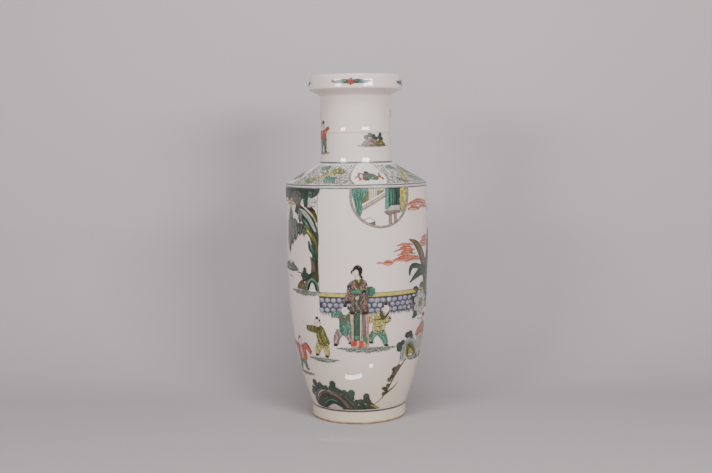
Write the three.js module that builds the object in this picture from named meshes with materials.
// A tall rouleau vase of glazed porcelain, in millimetres, with +Z up and its foot standing on z = 0.
// It is built as the potter builds it: a turned foot ring with a base disc let into it, and six thrown wall
// sections stacked on top. Each section has a tongue that stands inside the next one, and a bead of clay slip
// closes each seam on the inside.
import * as THREE from "three";

// Foot and base
const FOOT_RADIUS = 62.5;
const FOOT_WALL = 6;
const FOOT_RIM_WIDTH = 6.4;
const FOOT_BEVEL_WIDTH = 1.6;
const FOOT_BEVEL_HEIGHT = 1.8;
const RECESS_DEPTH = 8.5;
const BASE_THICKNESS = 7.7;
const BASE_EDGE_CHAMFER = 1;

// Body, which swells on a curve to its widest point and is almost straight above it
const BELLY_RADIUS = 93.5;
const TAPER_HEIGHT = 228.5;
const TAPER_POWER = 2.8;
const BODY_WALL = 6.5;
const UPPER_BODY_HEIGHT = 65.5;
const SHOULDER_RADIUS = 92.6;
const SHOULDER_EDGE_ROUND = 2.5;
const SHOULDER_RISE = 26.5;
const SHOULDER_WALL = 6;

// Neck, in two sections that meet at a ridge
const NECK_BASE_RADIUS = 47.3;
const NECK_RADIUS = 46.2;
const NECK_WALL = 5;
const LOWER_NECK_HEIGHT = 39.5;
const NECK_FLARE_HEIGHT = 16;
const FLARE_POWER = 2.2;
const UPPER_NECK_HEIGHT = 46.5;
const RIDGE_PROJECTION = 0.9;
const RIDGE_SLOPE_HEIGHT = 8;

// Mouth, a shallow dish with an upright lip
const DISH_RADIUS = 59.8;
const COVE_RISE = 8;
const COVE_POWER = 1.5;
const DISH_FLOOR_RISE = 4;
const DISH_FLOOR_ROUND = 2;
const LIP_RADIUS = 61.2;
const LIP_WALL = 5.6;
const LIP_FOOT_ROUND = 2.2;
const LIP_FOOT_TURN = 60;
const LIP_RISE = 19;
const LIP_LEAN = 1.2;
const LIP_CREST_RISE = 3.4;

// Seams
const LOWER_SECTION_HEIGHT = 135.5;
const SHOULDER_SEAM_DROP = 11.5;
const TONGUE_HEIGHT = 3;
const SLIP_GAP = 0.3;
const SLIP_BEAD_HEIGHT = 5;
const SLIP_BEAD_DEPTH = 1.4;
const BASE_FILLET = 7;

// Facets
const TURNS = 48;
const BODY_STEPS = 7;
const CURVE_STEPS = 4;

const GLAZE = { color: 0xdad6cf, roughness: 0.12, metalness: 0 };
const SLIP = { color: 0xcfc6b8, roughness: 0.55, metalness: 0 };
const FOOT_CLAY = { color: 0xcdb79a, roughness: 0.7, metalness: 0 };

// Heights, each standing on the one below
const footTop = RECESS_DEPTH + BASE_THICKNESS + SLIP_GAP;
const bellyHeight = footTop + TAPER_HEIGHT;
const shoulderHeight = bellyHeight + UPPER_BODY_HEIGHT;
const neckBaseHeight = shoulderHeight + SHOULDER_RISE;
const ridgeHeight = neckBaseHeight + LOWER_NECK_HEIGHT;
const neckTopHeight = ridgeHeight + UPPER_NECK_HEIGHT;
const dishTopHeight = neckTopHeight + COVE_RISE;
const lipTopHeight = dishTopHeight + LIP_RISE;
const bodySeam = footTop + LOWER_SECTION_HEIGHT;
const shoulderSeam = shoulderHeight - SHOULDER_SEAM_DROP;

const baseRadius = FOOT_RADIUS - FOOT_WALL;
const baseTop = footTop - SLIP_GAP;
const neckBore = NECK_RADIUS - NECK_WALL;
const lipBore = LIP_RADIUS - LIP_WALL;

const point = (radius, height) => new THREE.Vector2(radius, height);

// Outside radius of the body between the foot and the shoulder
function bodyRadius(height) {
  if (height <= bellyHeight) {
    const t = Math.max(0, (height - footTop) / TAPER_HEIGHT);
    return FOOT_RADIUS + (BELLY_RADIUS - FOOT_RADIUS) * (1 - (1 - t) ** TAPER_POWER);
  }
  const t = (height - bellyHeight) / UPPER_BODY_HEIGHT;
  return BELLY_RADIUS - (BELLY_RADIUS - SHOULDER_RADIUS) * t * t;
}

const bodyBore = (height) => bodyRadius(height) - BODY_WALL;

// Outside radius of the neck: each section is widest at its foot and flares down to it
function neckFlare(height, foot, footRadius, flareHeight) {
  const t = Math.max(0, 1 - (height - foot) / flareHeight);
  return NECK_RADIUS + (footRadius - NECK_RADIUS) * t ** FLARE_POWER;
}

const lowerNeckRadius = (height) =>
  neckFlare(height, neckBaseHeight, NECK_BASE_RADIUS, NECK_FLARE_HEIGHT);

const upperNeckRadius = (height) =>
  neckFlare(height, ridgeHeight, NECK_RADIUS + RIDGE_PROJECTION, RIDGE_SLOPE_HEIGHT);

// Outside radius of the cove under the mouth, from the neck out to the lip
function coveRadius(height) {
  const t = (height - neckTopHeight) / COVE_RISE;
  return NECK_RADIUS + (DISH_RADIUS - NECK_RADIUS) * t ** COVE_POWER;
}

// The shoulder is a straight cone, and its underside runs at the wall's thickness below it
const shoulderSlope = SHOULDER_RISE / (SHOULDER_RADIUS - NECK_BASE_RADIUS);

function shoulderUnderside(radius) {
  const outside = shoulderHeight + (SHOULDER_RADIUS - radius) * shoulderSlope;
  return outside - SHOULDER_WALL * Math.hypot(1, shoulderSlope);
}

// Points of a wall from one height to another, up or down
function wall(from, to, radiusAt, steps) {
  return Array.from({ length: steps + 1 }, (_, i) => {
    const height = from + ((to - from) * i) / steps;
    return point(radiusAt(height), height);
  });
}

// Points of an elliptical arc about a centre, between two angles in degrees
function arc(radius, height, reach, rise, from, to) {
  return Array.from({ length: CURVE_STEPS + 1 }, (_, i) => {
    const angle = THREE.MathUtils.degToRad(from + ((to - from) * i) / CURVE_STEPS);
    return point(radius + reach * Math.cos(angle), height + rise * Math.sin(angle));
  });
}

// Upper end of a section: its outer half ends at the seam, and its inner half stands up as a tongue
function tongue(seam, outside, boreAt) {
  const middle = (outside + boreAt(seam)) / 2;
  const tip = seam + TONGUE_HEIGHT;
  return [point(outside, seam), point(middle, seam), point(middle, tip), point(boreAt(tip), tip)];
}

// Lower end of a section: its outer half sits on the seam, and the rest is cut back over the tongue
function socket(seam, tongueOutside, outside, boreAt) {
  const middle = (tongueOutside + boreAt(seam)) / 2 + SLIP_GAP;
  const roof = seam + TONGUE_HEIGHT + SLIP_GAP;
  return [point(boreAt(roof), roof), point(middle, roof), point(middle, seam), point(outside, seam)];
}

// An outline turned about the upright axis
function turned(outline) {
  return new THREE.LatheGeometry(outline, TURNS).rotateX(Math.PI / 2);
}

const turnedRing = (outline) => turned([...outline, outline[0]]);

function footRing() {
  const rimOuter = FOOT_RADIUS - FOOT_BEVEL_WIDTH;
  const rimInner = rimOuter - FOOT_RIM_WIDTH;
  const recess = rimInner - FOOT_BEVEL_WIDTH;
  return turnedRing([
    point(recess, RECESS_DEPTH),
    point(recess, FOOT_BEVEL_HEIGHT),
    point(rimInner, 0),
    point(rimOuter, 0),
    point(FOOT_RADIUS, FOOT_BEVEL_HEIGHT),
    point(FOOT_RADIUS, footTop),
    point(baseRadius + SLIP_GAP, footTop),
    point(baseRadius + SLIP_GAP, RECESS_DEPTH),
  ]);
}

// The base disc rests on the ledge inside the foot ring
function baseDisc() {
  return turned([
    point(0, RECESS_DEPTH),
    point(baseRadius, RECESS_DEPTH),
    point(baseRadius, baseTop - BASE_EDGE_CHAMFER),
    point(baseRadius - BASE_EDGE_CHAMFER, baseTop),
    point(0, baseTop),
  ]);
}

// The lowest section stands on the foot ring with a plain flat end
function lowerBody() {
  return turnedRing([
    ...wall(footTop, bodySeam, bodyRadius, BODY_STEPS).slice(0, -1),
    ...tongue(bodySeam, bodyRadius(bodySeam), bodyBore),
    ...wall(bodySeam + TONGUE_HEIGHT, footTop, bodyBore, BODY_STEPS).slice(1),
  ]);
}

function upperBody() {
  const seamRadius = bodyRadius(bodySeam);
  const low = socket(bodySeam, seamRadius, seamRadius, bodyBore);
  return turnedRing([
    ...low,
    ...wall(bodySeam, shoulderSeam, bodyRadius, BODY_STEPS).slice(1, -1),
    ...tongue(shoulderSeam, bodyRadius(shoulderSeam), bodyBore),
    ...wall(shoulderSeam + TONGUE_HEIGHT, low[0].y, bodyBore, BODY_STEPS).slice(1, -1),
  ]);
}

// The shoulder turns from the upright wall over a small round edge into the cone
function shoulder() {
  const seamRadius = bodyRadius(shoulderSeam);
  const turn = Math.atan(1 / shoulderSlope);
  const edgeDrop = SHOULDER_EDGE_ROUND * Math.tan(turn / 2);
  const inner = bodyBore(shoulderHeight);
  return turnedRing([
    ...socket(shoulderSeam, seamRadius, seamRadius, bodyBore),
    ...arc(
      SHOULDER_RADIUS - SHOULDER_EDGE_ROUND,
      shoulderHeight - edgeDrop,
      SHOULDER_EDGE_ROUND,
      SHOULDER_EDGE_ROUND,
      0,
      THREE.MathUtils.radToDeg(turn),
    ),
    ...tongue(neckBaseHeight, NECK_BASE_RADIUS, () => neckBore),
    point(neckBore, shoulderUnderside(neckBore)),
    point(inner, shoulderUnderside(inner)),
  ]);
}

function lowerNeck() {
  const flareTop = neckBaseHeight + NECK_FLARE_HEIGHT;
  return turnedRing([
    ...socket(neckBaseHeight, NECK_BASE_RADIUS, NECK_BASE_RADIUS, () => neckBore),
    ...wall(neckBaseHeight, flareTop, lowerNeckRadius, CURVE_STEPS).slice(1),
    ...tongue(ridgeHeight, NECK_RADIUS, () => neckBore),
  ]);
}

// The upper neck's foot is the ridge, which stands out past the lower neck
function upperNeck() {
  const slopeTop = ridgeHeight + RIDGE_SLOPE_HEIGHT;
  const ridge = upperNeckRadius(ridgeHeight);
  return turnedRing([
    ...socket(ridgeHeight, NECK_RADIUS, ridge, () => neckBore),
    ...wall(ridgeHeight, slopeTop, upperNeckRadius, CURVE_STEPS).slice(1),
    ...tongue(neckTopHeight, NECK_RADIUS, () => neckBore),
  ]);
}

// The mouth spreads from the neck over the cove, and its lip rolls over to a bore wider than the neck's
function mouth() {
  const lipHalf = (LIP_WALL - LIP_LEAN) / 2;
  const floorHeight = dishTopHeight + LIP_FOOT_ROUND;
  const mouthSocket = socket(neckTopHeight, NECK_RADIUS, NECK_RADIUS, () => neckBore);
  const floorFoot = mouthSocket[0].y + DISH_FLOOR_RISE;
  return turnedRing([
    ...mouthSocket,
    ...wall(neckTopHeight, dishTopHeight, coveRadius, CURVE_STEPS).slice(1),
    ...arc(LIP_RADIUS - LIP_FOOT_ROUND, floorHeight, LIP_FOOT_ROUND, LIP_FOOT_ROUND, -LIP_FOOT_TURN, 0),
    ...arc(lipBore + lipHalf, lipTopHeight - LIP_CREST_RISE, lipHalf, LIP_CREST_RISE, 0, 180),
    point(lipBore, floorHeight + DISH_FLOOR_ROUND),
    point(lipBore - DISH_FLOOR_ROUND, floorHeight),
    point(neckBore + DISH_FLOOR_ROUND, floorFoot),
    point(neckBore, floorFoot - DISH_FLOOR_ROUND / 2),
  ]);
}

// A bead of slip on the inside of a seam, its back along the wall and its face bulging inwards
function slipBead(seam, boreAt) {
  const middle = seam + TONGUE_HEIGHT;
  const bottom = middle - SLIP_BEAD_HEIGHT / 2;
  const top = middle + SLIP_BEAD_HEIGHT / 2;
  const back = (height) => boreAt(height) - SLIP_GAP;
  const face = (height) => {
    const t = (2 * (height - middle)) / SLIP_BEAD_HEIGHT;
    return back(height) - SLIP_BEAD_DEPTH * (1 - t * t);
  };
  return turnedRing([
    point(back(bottom), bottom),
    point(back(top), top),
    ...wall(top, bottom, face, CURVE_STEPS).slice(1, -1),
  ]);
}

// The slip that fills the corner between the base disc and the wall, hollowed to a quarter round
function baseFillet() {
  const floor = footTop + SLIP_GAP;
  const top = floor + BASE_FILLET;
  const corner = bodyBore(floor) - SLIP_GAP;
  const foot = corner - BASE_FILLET;
  return turnedRing([
    point(foot, floor),
    point(corner, floor),
    point(bodyBore(top) - SLIP_GAP, top),
    ...arc(foot, top, BASE_FILLET, BASE_FILLET, 0, -90).slice(1, -1),
  ]);
}

const vase = new THREE.Group();

function add(name, geometry, finish) {
  const mesh = new THREE.Mesh(geometry, new THREE.MeshStandardMaterial(finish));
  mesh.name = name;
  vase.add(mesh);
}

add("foot_ring", footRing(), FOOT_CLAY);
add("base_disc", baseDisc(), GLAZE);
add("lower_body", lowerBody(), GLAZE);
add("upper_body", upperBody(), GLAZE);
add("shoulder", shoulder(), GLAZE);
add("lower_neck", lowerNeck(), GLAZE);
add("upper_neck", upperNeck(), GLAZE);
add("mouth", mouth(), GLAZE);
add("base_slip_fillet", baseFillet(), SLIP);
add("body_seam_slip", slipBead(bodySeam, bodyBore), SLIP);
add("shoulder_seam_slip", slipBead(shoulderSeam, bodyBore), SLIP);
add("neck_base_seam_slip", slipBead(neckBaseHeight, () => neckBore), SLIP);
add("ridge_seam_slip", slipBead(ridgeHeight, () => neckBore), SLIP);
add("neck_top_seam_slip", slipBead(neckTopHeight, () => neckBore), SLIP);

export default vase;
